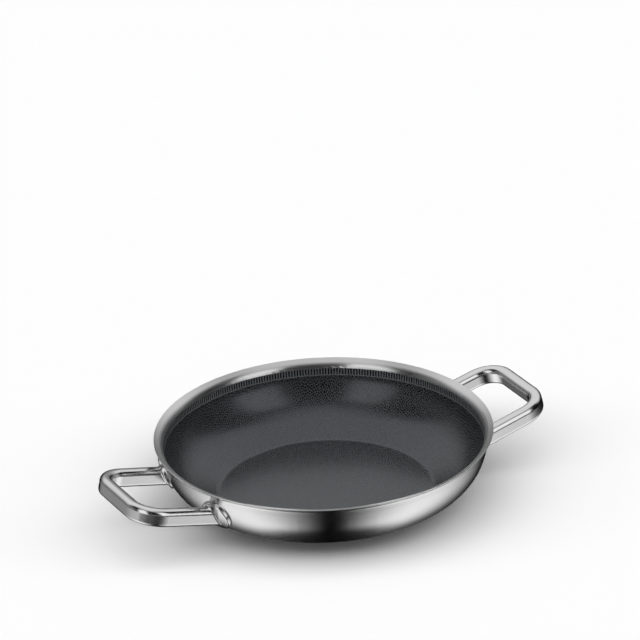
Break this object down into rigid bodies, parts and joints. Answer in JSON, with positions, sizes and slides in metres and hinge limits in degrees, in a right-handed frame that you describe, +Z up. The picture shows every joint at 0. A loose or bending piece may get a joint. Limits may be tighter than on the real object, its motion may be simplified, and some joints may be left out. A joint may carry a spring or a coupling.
{
  "type": "serving pan",
  "caption": "Round shallow serving pan in clad stainless steel with a flared pouring lip, a dark coated inside and fixed loop handles.",
  "frame": {"origin": "centre of the flat base, on the surface that the pan stands on", "axes": "+Z up along the bowl's axis; +X towards the right handle, along the line through both handles; -Y is the front"},
  "size_m": [0.3884, 0.28, 0.0564],
  "materials": {
    "outside_steel": "polished",
    "core_aluminium": "satin",
    "inside_steel": "polished",
    "coating": "satin",
    "handle_steel": "polished"
  },
  "bodies": {
    "root": {"outer_shell": "outside_steel", "aluminium_core": "core_aluminium", "inner_shell": "inside_steel", "nonstick_coating": "coating", "left_handle": "handle_steel", "right_handle": "handle_steel", "left_handle_front_foot": "handle_steel", "left_handle_back_foot": "handle_steel", "right_handle_front_foot": "handle_steel", "right_handle_back_foot": "handle_steel", "left_handle_front_weld": "handle_steel", "left_handle_back_weld": "handle_steel", "right_handle_front_weld": "handle_steel", "right_handle_back_weld": "handle_steel"}
  },
  "joints": []
}
